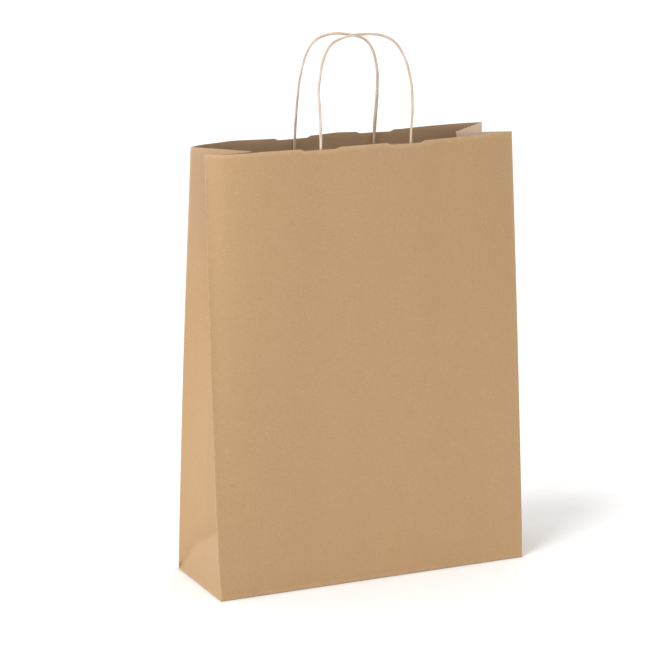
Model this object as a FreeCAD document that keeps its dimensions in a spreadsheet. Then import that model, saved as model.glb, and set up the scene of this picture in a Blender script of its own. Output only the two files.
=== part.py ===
import FreeCAD, Part
import math
import os
import Sketcher

# A folded kraft paper carrier bag with a block bottom, pushed-in side gussets and two twisted-cord
# handles, standing open.  Millimetres.  +Z is up, +X is to the right of someone facing the front
# panel, the front panel faces -Y, and the origin is on the floor under the middle of the bottom.
#
# One sheet of paper makes the bag, and each face between its creases is a piece here: two panels,
# four gusset halves, two gusset feet, two bottom flaps and two bottom tucks, and the glued lap.
# Each handle is a cord whose two ends are glued between two patch strips inside its panel.

Vector = FreeCAD.Vector

# ---------------------------------------------------------------- driving sizes
SIZES = {
    # the bag as it is folded
    "bag_width": 320.0,
    "bag_depth": 110.0,
    "bag_height": 420.0,
    "paper": 0.3,
    "fold_gap": 0.3,        # room along a fold between faces that tilt against each other
    "flap_overlap": 24.0,   # how far the two bottom flaps lie over each other
    "lap_width": 20.0,      # the lengthwise glued lap of the tube
    # how far the top edge of each panel leans in from upright: at its ends and at its middle
    "front_left_lean": 30.5,
    "front_middle_lean": 8.5,
    "front_right_lean": 33.0,
    "back_left_lean": 41.5,
    "back_middle_lean": 17.5,
    "back_right_lean": 17.0,
    "corner_inset": 1.0,    # what the bow of a panel takes off each end of its top edge
    "mouth_drop": 0.6,      # what the lean takes off the height
    # the shallow cuts in the top edge that the cords pass
    "notch_top_width": 40.0,
    "notch_floor_width": 31.5,
    "notch_depth": 1.8,
    # how far the middle of each cut is to the right of the cord that passes it
    "front_left_notch_shift": -1.0,
    "front_right_notch_shift": -5.2,
    "back_left_notch_shift": -0.8,
    "back_right_notch_shift": 1.4,
    # handles
    "cord_diameter": 2.6,
    "glue_gap": 0.1,
    "patch_width": 160.0,
    "patch_height": 40.0,
    "patch_drop": 15.0,     # from the panel's top edge down to the patch
    "cord_end_margin": 5.0,  # from a cord's cut end down to the patch's lower edge
    "bend_gap": 1.8,        # between a glued cord end and the loop that swings
}

# Each loop from its left leg over the top to its right leg: (across, above the notch floor).
FRONT_ROUTE = (
    (-52.0, 0.9), (-51.6, 35.5), (-53.1, 57.0), (-44.3, 93.7), (-23.1, 104.2),
    (14.5, 104.0), (33.6, 90.9), (42.9, 61.5), (43.8, 33.0), (39.7, 0.9),
)
BACK_ROUTE = (
    (-45.7, 0.9), (-45.0, 33.0), (-43.5, 61.0), (-36.1, 91.0), (-14.2, 101.4),
    (19.7, 95.8), (32.2, 86.8), (41.0, 63.6), (42.3, 33.0), (41.1, 0.9),
)
# how a loop leans towards the middle of the bag, per millimetre of rise
LOOP_LEAN = {"front": 0.08, "back": 0.13}
ROUTES = {"front": FRONT_ROUTE, "back": BACK_ROUTE}
SIGN = {"front": -1, "back": 1, "left": -1, "right": 1}

doc = FreeCAD.newDocument("gift_bag")
sheet = doc.addObject("Spreadsheet::Sheet", "Sizes")
cells = dict(SIZES)
for wall in ("front", "back"):
    cells[f"{wall}_left_leg"] = ROUTES[wall][0][0]
    cells[f"{wall}_right_leg"] = ROUTES[wall][-1][0]
for row, (alias, value) in enumerate(cells.items(), start=1):
    sheet.set(f"A{row}", str(value))
    sheet.setAlias(f"A{row}", alias)
doc.recompute()

PIECES = []


def size(alias):
    """The value of one cell of the sheet."""
    return float(getattr(sheet, alias))


def notch_level():
    """The height of the notch floors, where the cords pass the top edges of the panels."""
    return size("bag_height") - size("mouth_drop") - size("notch_depth")


def bind(thing, **expressions):
    """Ties properties of a document object to expressions over the sheet's cells."""
    for name, expression in expressions.items():
        thing.setExpression(name.replace("__", "."), expression)


def piece(thing, name):
    """Names a finished sub-part and puts it on the list of those to be written."""
    thing.Label = name
    PIECES.append(thing)
    return thing


# ---------------------------------------------------------------- places worked out from the sizes
S = "Sizes."
HALF_WIDTH = f"({S}bag_width / 2)"
HALF_DEPTH = f"({S}bag_depth / 2)"
MOUTH = f"({S}bag_height - {S}mouth_drop)"
NOTCH_FLOOR = f"({MOUTH} - {S}notch_depth)"
TOP_HALF_WIDTH = f"({HALF_WIDTH} - {S}corner_inset)"
PATCH_BASE = f"({MOUTH} - {S}patch_drop - {S}patch_height)"
PATCH_MIDDLE = {w: f"(({S}{w}_left_leg + {S}{w}_right_leg) / 2)" for w in ROUTES}
FLAP_DEPTH = f"({HALF_DEPTH} + {S}flap_overlap / 2)"
BACKING_OFFSET = f"({S}paper + {S}glue_gap)"
COVER_OFFSET = f"(2 * {BACKING_OFFSET})"
GUSSET_MARGIN = f"(2 * {S}paper + {S}fold_gap)"
BOTTOM_MARGIN = f"({S}paper + {S}fold_gap)"
BOTTOM_LAYERS = 3
SAME_POINT = 1e-6
VOLUME_TOLERANCE = 0.01


def top_y(wall, end):
    """Where a panel's outer face is at its top edge, as an expression."""
    return f"({SIGN[wall]} * ({HALF_DEPTH} - {S}{wall}_{end}_lean))"


# ---------------------------------------------------------------- sketch helpers
def origin_plane(body, role):
    """One of a body's own origin planes."""
    return next(f for f in body.Origin.OriginFeatures if f.Role == role)


def new_sketch(body, name, role, height=None):
    """A sketch on an origin plane of its body, lifted by an expression if one is given."""
    sketch = body.newObject("Sketcher::SketchObject", name)
    sketch.AttachmentSupport = (origin_plane(body, role), [""])
    sketch.MapMode = "FlatFace"
    if height is not None:
        bind(sketch, AttachmentOffset__Base__z=height)
    return sketch


def pin(sketch, geometry, point, across, along):
    """Fixes one point of a sketch at two expressions, measured from the sketch's origin."""
    for kind, expression in (("DistanceX", across), ("DistanceY", along)):
        value = sketch.evalExpression(expression)
        value = float(getattr(value, "Value", value))
        number = sketch.addConstraint(
            Sketcher.Constraint(kind, -1, 1, geometry, point, value)
        )
        sketch.setExpression(f"Constraints[{number}]", expression)


def at(sketch, across, along):
    """The point that two expressions give now, to draw with before the constraints hold it."""
    numbers = []
    for expression in (across, along):
        value = sketch.evalExpression(expression)
        numbers.append(float(getattr(value, "Value", value)))
    return Vector(numbers[0], numbers[1], 0)


def polygon(sketch, corners):
    """A closed outline of straight lines with each corner at a pair of expressions."""
    points = [at(sketch, *corner) for corner in corners]
    first = sketch.GeometryCount
    count = len(points)
    for i in range(count):
        sketch.addGeometry(Part.LineSegment(points[i], points[(i + 1) % count]), False)
    for i in range(count):
        following = first + (i + 1) % count
        sketch.addConstraint(Sketcher.Constraint("Coincident", first + i, 2, following, 1))
        pin(sketch, first + i, 1, *corners[i])


def bowed_band(sketch, left, middle, right, inner):
    """A band between two parallel arcs, each through its left, middle and right point.

    inner is the expression for how far the second arc is from the first, along the sketch's Y.
    """
    shifted = [(x, f"({y} + {inner})") for x, y in (left, middle, right)]
    ends = []
    for start, halfway, end in ((left, middle, right), shifted):
        arc = Part.Arc(at(sketch, *start), at(sketch, *halfway), at(sketch, *end))
        number = sketch.addGeometry(arc, False)
        drawn = sketch.getPoint(number, 1)
        left_end = 1 if (drawn - at(sketch, *start)).Length < SAME_POINT else 2
        pin(sketch, number, left_end, *start)
        pin(sketch, number, 3 - left_end, *end)
        knot = sketch.addGeometry(Part.Point(at(sketch, *halfway)), True)
        pin(sketch, knot, 1, *halfway)
        sketch.addConstraint(Sketcher.Constraint("PointOnObject", knot, 1, number))
        ends.append((number, left_end))
    (outer, outer_left), (inside, inside_left) = ends
    for a, b in ((outer_left, inside_left), (3 - outer_left, 3 - inside_left)):
        line = Part.LineSegment(sketch.getPoint(outer, a), sketch.getPoint(inside, b))
        number = sketch.addGeometry(line, False)
        sketch.addConstraint(Sketcher.Constraint("Coincident", number, 1, outer, a))
        sketch.addConstraint(Sketcher.Constraint("Coincident", number, 2, inside, b))


# ---------------------------------------------------------------- the walls
def panel_layer(name, wall, offset, thickness):
    """A full-size sheet of one wall, ruled from the straight bottom fold to the bowed top edge.

    offset and thickness are expressions, measured towards the middle of the bag.
    """
    body = doc.addObject("PartDesign::Body", name)
    inward = -SIGN[wall]
    shift = f"({inward} * {offset})"
    inner = f"({inward} * {thickness})"
    fold = f"({SIGN[wall]} * {HALF_DEPTH} + {shift})"
    base = new_sketch(body, f"{name}_fold", "XY_Plane")
    polygon(base, (
        (f"-{HALF_WIDTH}", fold),
        (HALF_WIDTH, fold),
        (HALF_WIDTH, f"({fold} + {inner})"),
        (f"-{HALF_WIDTH}", f"({fold} + {inner})"),
    ))
    top = new_sketch(body, f"{name}_top", "XY_Plane", MOUTH)
    doc.recompute()
    bowed_band(
        top,
        (f"-{TOP_HALF_WIDTH}", f"({top_y(wall, 'left')} + {shift})"),
        ("0", f"({top_y(wall, 'middle')} + {shift})"),
        (TOP_HALF_WIDTH, f"({top_y(wall, 'right')} + {shift})"),
        inner,
    )
    doc.recompute()
    loft = body.newObject("PartDesign::AdditiveLoft", f"{name}_wall")
    loft.Profile = base
    loft.Sections = [top]
    loft.Ruled = True
    doc.recompute()
    return body


def cut_notches(body, name, wall):
    """Two shallow cuts in the panel's top edge, each near one leg of the cord."""
    outline = new_sketch(body, f"{name}_notches", "XZ_Plane")
    for leg in ("left", "right"):
        middle = f"({S}{wall}_{leg}_leg + {S}{wall}_{leg}_notch_shift)"
        corners = []
        for side, width, height in (
            (-1, "notch_floor_width", NOTCH_FLOOR),
            (1, "notch_floor_width", NOTCH_FLOOR),
            (1, "notch_top_width", MOUTH),
            (1, "notch_top_width", f"({MOUTH} + {S}notch_depth)"),
            (-1, "notch_top_width", f"({MOUTH} + {S}notch_depth)"),
            (-1, "notch_top_width", MOUTH),
        ):
            corners.append((f"({middle} + {side} * {S}{width} / 2)", height))
        polygon(outline, corners)
    before = body.Shape.Volume
    cut = body.newObject("PartDesign::Pocket", f"{name}_notch_cut")
    cut.Profile = outline
    cut.Type = "ThroughAll"
    cut.Midplane = True
    doc.recompute()
    if body.Shape.Volume >= before:
        raise RuntimeError(f"the notches of {name} cut nothing")


def trimmed(name, sheet_body, low, high):
    """The part of a sheet inside an upright box.  low and high are (x, z) expressions."""
    box = doc.addObject("Part::Box", f"{name}_trim")
    bind(
        box,
        Length=f"{high[0]} - {low[0]}",
        Width=f"{S}bag_depth * 2",
        Height=f"{high[1]} - {low[1]}",
        Placement__Base__x=low[0],
        Placement__Base__y=f"-{S}bag_depth",
        Placement__Base__z=low[1],
    )
    common = doc.addObject("Part::MultiCommon", name)
    common.Shapes = [sheet_body, box]
    return common


def patch_limits(wall):
    """The patch strip's low and high (x, z) corners, as expressions."""
    middle = PATCH_MIDDLE[wall]
    low = (f"({middle} - {S}patch_width / 2)", PATCH_BASE)
    high = (f"({middle} + {S}patch_width / 2)", f"({PATCH_BASE} + {S}patch_height)")
    return low, high


def panel_face_y(wall, across):
    """Where the panel's outer face is at the top edge, at one place across it."""
    body = doc.getObject(f"{wall}_panel")
    level = notch_level()
    reach = size("bag_depth")
    probe = Part.makeLine(Vector(across, -reach, level), Vector(across, reach, level))
    hits = [v.Point.y for v in body.Shape.common(probe).Vertexes]
    return min(hits) if wall == "front" else max(hits)


def cord_line(wall, leg):
    """The foot and the slope of one glued cord end, which lies along the panel's backing.

    Returns (y at the notch floor, y gained per millimetre of height).
    """
    across = size(f"{wall}_{leg}_leg")
    face = panel_face_y(wall, across)
    fold = SIGN[wall] * size("bag_depth") / 2
    slope = (face - fold) / notch_level()
    depth = 2 * (size("paper") + size("glue_gap")) + size("cord_diameter") / 2
    return face - SIGN[wall] * depth, slope


def leg_cylinder(name, wall, leg, radius, bottom, top):
    """A cylinder along one cord leg between two heights.  radius is an expression."""
    rod = doc.addObject("Part::Cylinder", name)
    y_at_notch, slope = cord_line(wall, leg)
    level = notch_level()
    foot = Vector(size(f"{wall}_{leg}_leg"), y_at_notch + slope * (bottom - level), bottom)
    tilt = math.degrees(math.atan(slope))
    bind(rod, Radius=radius)
    rod.Height = (top - bottom) / math.cos(math.radians(tilt))
    rod.Placement = FreeCAD.Placement(foot, FreeCAD.Rotation(Vector(1, 0, 0), -tilt))
    return rod


def handle_patch(wall):
    """The two glued strips that hold one cord, and the two glued cord ends between them."""
    low, high = patch_limits(wall)
    layer = panel_layer(f"{wall}_backing_layer", wall, BACKING_OFFSET, f"{S}paper")
    piece(trimmed(f"{wall}_patch_backing", layer, low, high), f"{wall}_patch_backing")

    notch_floor = notch_level()
    patch_top = size("bag_height") - size("mouth_drop") - size("patch_drop")
    patch_base = patch_top - size("patch_height")
    cord_radius = f"{S}cord_diameter / 2"
    legs = ("left", "right")

    ends = doc.addObject("Part::MultiFuse", f"{wall}_cord_ends")
    ends.Shapes = [
        leg_cylinder(f"{wall}_{leg}_end", wall, leg, cord_radius,
                     patch_base + size("cord_end_margin"), notch_floor - size("bend_gap") / 2)
        for leg in legs
    ]
    piece(ends, f"{wall}_cord_ends")

    # the cover lies on the backing and rises over each cord in a half-round ridge
    flat = panel_layer(f"{wall}_cover_layer", wall, COVER_OFFSET, f"{S}paper")
    block = panel_layer(f"{wall}_cover_space", wall, COVER_OFFSET, f"(2 * {S}cord_diameter)")
    reach = size("patch_height")
    ridges = [
        leg_cylinder(f"{wall}_{leg}_ridge", wall, leg,
                     f"{cord_radius} + {S}glue_gap + {S}paper", patch_base - reach,
                     patch_top + reach)
        for leg in legs
    ]
    channels = [
        leg_cylinder(f"{wall}_{leg}_channel", wall, leg, f"{cord_radius} + {S}glue_gap",
                     patch_base - reach, patch_top + reach)
        for leg in legs
    ]
    joined = doc.addObject("Part::MultiFuse", f"{wall}_cover_joined")
    joined.Shapes = [flat, *ridges]
    within = doc.addObject("Part::MultiCommon", f"{wall}_cover_within")
    within.Shapes = [joined, block]
    cut = doc.addObject("Part::MultiFuse", f"{wall}_channels")
    cut.Shapes = channels
    hollow = doc.addObject("Part::Cut", f"{wall}_cover_hollow")
    hollow.Base = within
    hollow.Tool = cut
    piece(trimmed(f"{wall}_patch_cover", hollow, low, high), f"{wall}_patch_cover")


def rounded_route(points):
    """Straight runs joined by tangent arcs, each arc as large as its two runs allow."""
    share = 0.45
    edges, radii = [], []
    start = points[0]
    for before, corner, after in zip(points, points[1:], points[2:]):
        inward = (before - corner).normalize()
        outward = (after - corner).normalize()
        turn = math.pi - inward.getAngle(outward)
        cut = share * min((corner - before).Length, (after - corner).Length)
        radii.append(cut / math.tan(turn / 2))
        first = corner + inward * cut
        last = corner + outward * cut
        middle_way = (inward + outward).normalize()
        centre_reach = math.hypot(radii[-1], cut)
        middle = corner + middle_way * (centre_reach - radii[-1])
        edges.append(Part.LineSegment(start, first).toShape())
        edges.append(Part.Arc(first, middle, last).toShape())
        start = last
    edges.append(Part.LineSegment(start, points[-1]).toShape())
    return Part.Wire(edges), radii


def cord_loop(wall):
    """The loop of cord that stands above its panel and swings about the top edge."""
    lean = -SIGN[wall] * LOOP_LEAN[wall]
    level = notch_level()
    first_y = cord_line(wall, "left")[0]
    last_y = cord_line(wall, "right")[0]
    route = ROUTES[wall]
    width = route[-1][0] - route[0][0]
    points = []
    for across, rise in route:
        share = (across - route[0][0]) / width
        y = first_y + (last_y - first_y) * share + lean * rise
        points.append(Vector(across, y, level + rise))
    wire, radii = rounded_route(points)
    print(f"{wall} loop: arc radii {[round(r, 1) for r in radii]}, length {wire.Length:.1f}")
    edge = [(route[end][0], round(panel_face_y(wall, route[end][0]), 3)) for end in (0, -1)]
    print(f"{wall} hinge: through {edge[0]} and {edge[1]} at z {level:.1f}")

    path = doc.addObject("Part::Feature", f"{wall}_loop_path")
    path.Shape = wire
    ring = doc.addObject("Part::Circle", f"{wall}_loop_section")
    bind(ring, Radius=f"{S}cord_diameter / 2")
    along = points[1] - points[0]
    ring.Placement = FreeCAD.Placement(points[0], FreeCAD.Rotation(Vector(0, 0, 1), along))
    sweep = doc.addObject("Part::Sweep", f"{wall}_cord_loop")
    sweep.Sections = [ring]
    sweep.Spine = (path, [f"Edge{i + 1}" for i in range(len(wire.Edges))])
    sweep.Solid = True
    sweep.Frenet = False
    doc.recompute()
    section = math.pi * size("cord_diameter") ** 2 / 4
    expected = section * wire.Length
    if abs(sweep.Shape.Volume - expected) > VOLUME_TOLERANCE * expected:
        raise RuntimeError(f"the {wall} loop's volume doesn't match its section and length")
    piece(sweep, f"{wall}_cord_loop")


def glued_lap():
    """The lengthwise lap that closes the tube, inside the back panel along its left fold."""
    layer = panel_layer("lap_layer", "back", BACKING_OFFSET, f"{S}paper")
    edge = f"(-{TOP_HALF_WIDTH} + {S}fold_gap)"
    low = (edge, f"({BOTTOM_LAYERS + 1} * {S}paper)")
    high = (f"({edge} + {S}lap_width)", f"({MOUTH} - {S}notch_depth)")
    piece(trimmed("tube_glue_lap", layer, low, high), "tube_glue_lap")


# ---------------------------------------------------------------- gussets
def corner_gap(end):
    """The distance between the two panels' top corners on one side, as an expression."""
    return f"({top_y('back', end)} - {top_y('front', end)})"


def gusset_half(side, wall):
    """One half of a side gusset: flat at the bottom, and folded in along its crease at the top.

    It is ruled from the slanted edge of the gusset's foot to its own top edge.
    """
    name = f"{side}_gusset_{wall}"
    out = SIGN[side]
    fold_side = f"({-SIGN[wall]} * {GUSSET_MARGIN})"
    push = f"sqrt({HALF_DEPTH} ^ 2 - ({corner_gap(side)} / 2) ^ 2)"
    crease_length = f"({S}bag_height - {HALF_DEPTH})"
    foot_edge = doc.addObject("Part::Line", f"{name}_foot_edge")
    bind(
        foot_edge,
        X1=f"{out} * {HALF_WIDTH}",
        Y1=f"{SIGN[wall]} * {HALF_DEPTH} + {fold_side}",
        Z1="0",
        X2=f"{out} * {HALF_WIDTH}",
        Y2="0",
        Z2=HALF_DEPTH,
    )
    top_edge = doc.addObject("Part::Line", f"{name}_top_edge")
    bind(
        top_edge,
        X1=f"{out} * {TOP_HALF_WIDTH}",
        Y1=f"{top_y(wall, side)} + {fold_side}",
        Z1=MOUTH,
        X2=f"{out} * ({HALF_WIDTH} - {push})",
        Y2=f"({top_y('front', side)} + {top_y('back', side)}) / 2",
        Z2=f"{HALF_DEPTH} + sqrt({crease_length} ^ 2 - ({push}) ^ 2)",
    )
    face = doc.addObject("Part::RuledSurface", f"{name}_face")
    face.Curve1 = (foot_edge, ["Edge1"])
    face.Curve2 = (top_edge, ["Edge1"])
    # the face turns from looking sideways to looking at its panel, so it is thickened halfway
    halfway = Vector(-out, SIGN[wall], 0).normalize()
    solid = doc.addObject("Part::Extrusion", name)
    solid.Base = face
    solid.DirMode = "Custom"
    solid.Dir = halfway
    bind(solid, LengthFwd=f"{S}paper")
    solid.Solid = True
    piece(solid, name)


def gusset_foot(side):
    """The upright triangle of a gusset between the bottom fold and its two slanted creases."""
    name = f"{side}_gusset_foot"
    body = doc.addObject("PartDesign::Body", name)
    outline = new_sketch(body, f"{name}_outline", "YZ_Plane")
    polygon(outline, (
        (f"(-{HALF_DEPTH} + {GUSSET_MARGIN})", "0"),
        (f"({HALF_DEPTH} - {GUSSET_MARGIN})", "0"),
        ("0", HALF_DEPTH),
    ))
    pad = body.newObject("PartDesign::Pad", f"{name}_pad")
    pad.Profile = outline
    bind(pad, Length=f"{S}paper")
    pad.Reversed = side == "right"
    bind(body, Placement__Base__x=f"{SIGN[side]} * {HALF_WIDTH}")
    piece(body, name)


# ---------------------------------------------------------------- the block bottom
def bottom_flap(wall, layer):
    """One glued bottom flap, its ends folded in at 45 degrees.  layer counts from the floor."""
    name = f"bottom_{wall}_flap"
    body = doc.addObject("PartDesign::Body", name)
    out = SIGN[wall]
    fold = f"({out} * ({HALF_DEPTH} - {BOTTOM_MARGIN}))"
    free = f"({out} * ({HALF_DEPTH} - {FLAP_DEPTH}))"
    half_fold = f"({HALF_WIDTH} - {BOTTOM_MARGIN})"
    half_free = f"({HALF_WIDTH} - {FLAP_DEPTH})"
    outline = new_sketch(body, f"{name}_outline", "XY_Plane")
    polygon(outline, (
        (f"-{half_fold}", fold),
        (half_fold, fold),
        (half_free, free),
        (f"-{half_free}", free),
    ))
    pad = body.newObject("PartDesign::Pad", f"{name}_pad")
    pad.Profile = outline
    bind(pad, Length=f"{S}paper")
    bind(body, Placement__Base__z=f"{layer} * {S}paper")
    piece(body, name)


def bottom_tuck(side, layer):
    """The end of a gusset, folded in flat above the two flaps."""
    name = f"bottom_{side}_tuck"
    body = doc.addObject("PartDesign::Body", name)
    out = SIGN[side]
    outline = new_sketch(body, f"{name}_outline", "XY_Plane")
    half = f"({HALF_DEPTH} - {BOTTOM_MARGIN})"
    outer = f"({out} * ({HALF_WIDTH} - {BOTTOM_MARGIN}))"
    inner = f"({out} * ({HALF_WIDTH} - {FLAP_DEPTH}))"
    polygon(outline, ((outer, f"-{half}"), (outer, half), (inner, half), (inner, f"-{half}")))
    pad = body.newObject("PartDesign::Pad", f"{name}_pad")
    pad.Profile = outline
    bind(pad, Length=f"{S}paper")
    bind(body, Placement__Base__z=f"{layer} * {S}paper")
    piece(body, name)


# ---------------------------------------------------------------- make everything
for wall in ("front", "back"):
    panel = panel_layer(f"{wall}_panel", wall, "0", f"{S}paper")
    cut_notches(panel, f"{wall}_panel", wall)
    piece(panel, f"{wall}_panel")
    handle_patch(wall)
    cord_loop(wall)
glued_lap()
for side in ("left", "right"):
    gusset_foot(side)
    for wall in ("front", "back"):
        gusset_half(side, wall)
bottom_flap("back", 0)
bottom_flap("front", 1)
for side in ("left", "right"):
    bottom_tuck(side, 2)
doc.recompute()

# ---------------------------------------------------------------- check and write
for thing in doc.Objects:
    if "Invalid" in thing.State or "Error" in thing.State:
        raise RuntimeError(f"{thing.Name} did not compute: {thing.State}")
os.makedirs("parts", exist_ok=True)
for thing in PIECES:
    shape = thing.Shape
    if shape.isNull() or not shape.isValid() or shape.Volume <= 0:
        raise RuntimeError(f"{thing.Label} is not a sound solid")
for thing in PIECES:
    thing.Shape.exportStep(f"parts/{thing.Label}.step")
    box = thing.Shape.BoundBox
    print(f"{thing.Label:22s} {len(thing.Shape.Solids)} solid(s) {thing.Shape.Volume:10.1f} mm3 "
          f"x {box.XMin:7.1f} {box.XMax:7.1f} y {box.YMin:6.1f} {box.YMax:6.1f} "
          f"z {box.ZMin:6.1f} {box.ZMax:6.1f}")
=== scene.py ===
"""A plain kraft paper carrier bag with twisted-cord handles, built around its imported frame.

Metres.  +Z is up, +X is to the right of someone facing the front panel, and the front faces -Y.
"""

import logging
import math
from dataclasses import dataclass, field
from enum import Enum

import bpy
import numpy as np
from mathutils import Matrix, Vector


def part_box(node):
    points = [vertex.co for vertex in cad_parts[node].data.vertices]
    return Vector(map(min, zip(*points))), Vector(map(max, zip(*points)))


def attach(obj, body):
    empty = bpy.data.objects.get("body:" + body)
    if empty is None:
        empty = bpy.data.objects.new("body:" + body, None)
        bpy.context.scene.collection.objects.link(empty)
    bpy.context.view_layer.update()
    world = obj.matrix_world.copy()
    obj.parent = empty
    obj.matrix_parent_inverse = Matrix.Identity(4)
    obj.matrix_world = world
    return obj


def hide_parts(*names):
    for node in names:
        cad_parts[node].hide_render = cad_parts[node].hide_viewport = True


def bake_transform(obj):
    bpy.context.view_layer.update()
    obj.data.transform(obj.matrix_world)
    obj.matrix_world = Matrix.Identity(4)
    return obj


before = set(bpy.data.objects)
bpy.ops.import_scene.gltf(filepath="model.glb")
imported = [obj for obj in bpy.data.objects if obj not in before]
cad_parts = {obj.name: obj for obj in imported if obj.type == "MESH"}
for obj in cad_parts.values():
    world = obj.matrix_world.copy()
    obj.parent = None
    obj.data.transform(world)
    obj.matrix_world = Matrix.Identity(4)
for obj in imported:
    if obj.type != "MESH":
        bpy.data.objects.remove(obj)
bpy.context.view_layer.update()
LOG = logging.getLogger("gift_bag")
MM = 0.001
TOP_POWER = 14  # how quickly what shapes the mouth's edge dies away below it
INSIDE_TONE = 1.4  # how much more strongly the painted light and shade show on the paper's inner face
SHARP_ANGLE = math.radians(50)
TINY = 1e-12


class Wall(Enum):
    """One of the bag's two wide walls; its value starts the names of its pieces."""

    FRONT = "front"
    BACK = "back"

    @property
    def out(self) -> int:
        """The sign of Y on the outer side of this wall."""
        return -1 if self is Wall.FRONT else 1

    @property
    def body(self) -> str:
        """The body that this wall's pieces move with."""
        return f"{self.value}_wall"


class Side(Enum):
    """One of the bag's two narrow sides; its value starts the names of its pieces."""

    LEFT = "left"
    RIGHT = "right"

    @property
    def out(self) -> int:
        """The sign of X on the outer side."""
        return -1 if self is Side.LEFT else 1


class Slot(Enum):
    """The record's material slots."""

    KRAFT = "kraft_paper"
    PATCH = "patch_paper"
    CORD = "twisted_paper_cord"


# ---------------------------------------------------------------- curves
def smooth_step(low: float, high: float, value: np.ndarray) -> np.ndarray:
    """Rises smoothly from 0 at low to 1 at high."""
    share = np.clip((value - low) / (high - low), 0.0, 1.0)
    return share * share * (3.0 - 2.0 * share)


def bell(value: np.ndarray, middle: float, spread: float) -> np.ndarray:
    """A bump of height 1 at middle."""
    return np.exp(-(((value - middle) / spread) ** 2))


@dataclass(frozen=True)
class EdgeCurve:
    """A smooth line through points in order, with no overshoot between them."""

    points: tuple[tuple[float, float], ...]

    def at(self, across: np.ndarray) -> np.ndarray:
        """The curve's height over each place.

        Args:
            across: places along the line's first number; past an end, the end's height is used.

        Returns:
            The curve's value at each place.
        """
        x, y = np.array(self.points).T
        run = np.diff(x)
        slope = np.diff(y) / run
        product = slope[:-1] * slope[1:]
        total = slope[:-1] + slope[1:]
        inner = np.where(product > 0, 2.0 * product / np.where(total == 0, 1.0, total), 0.0)
        lean = np.concatenate(([slope[0]], inner, [slope[-1]]))
        place = np.clip(across, x[0], x[-1])
        i = np.clip(np.searchsorted(x, place, side="right") - 1, 0, len(run) - 1)
        t = (place - x[i]) / run[i]
        return (
            (2 * t**3 - 3 * t**2 + 1) * y[i]
            + (t**3 - 2 * t**2 + t) * run[i] * lean[i]
            + (3 * t**2 - 2 * t**3) * y[i + 1]
            + (t**3 - t**2) * run[i] * lean[i + 1]
        )


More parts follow.
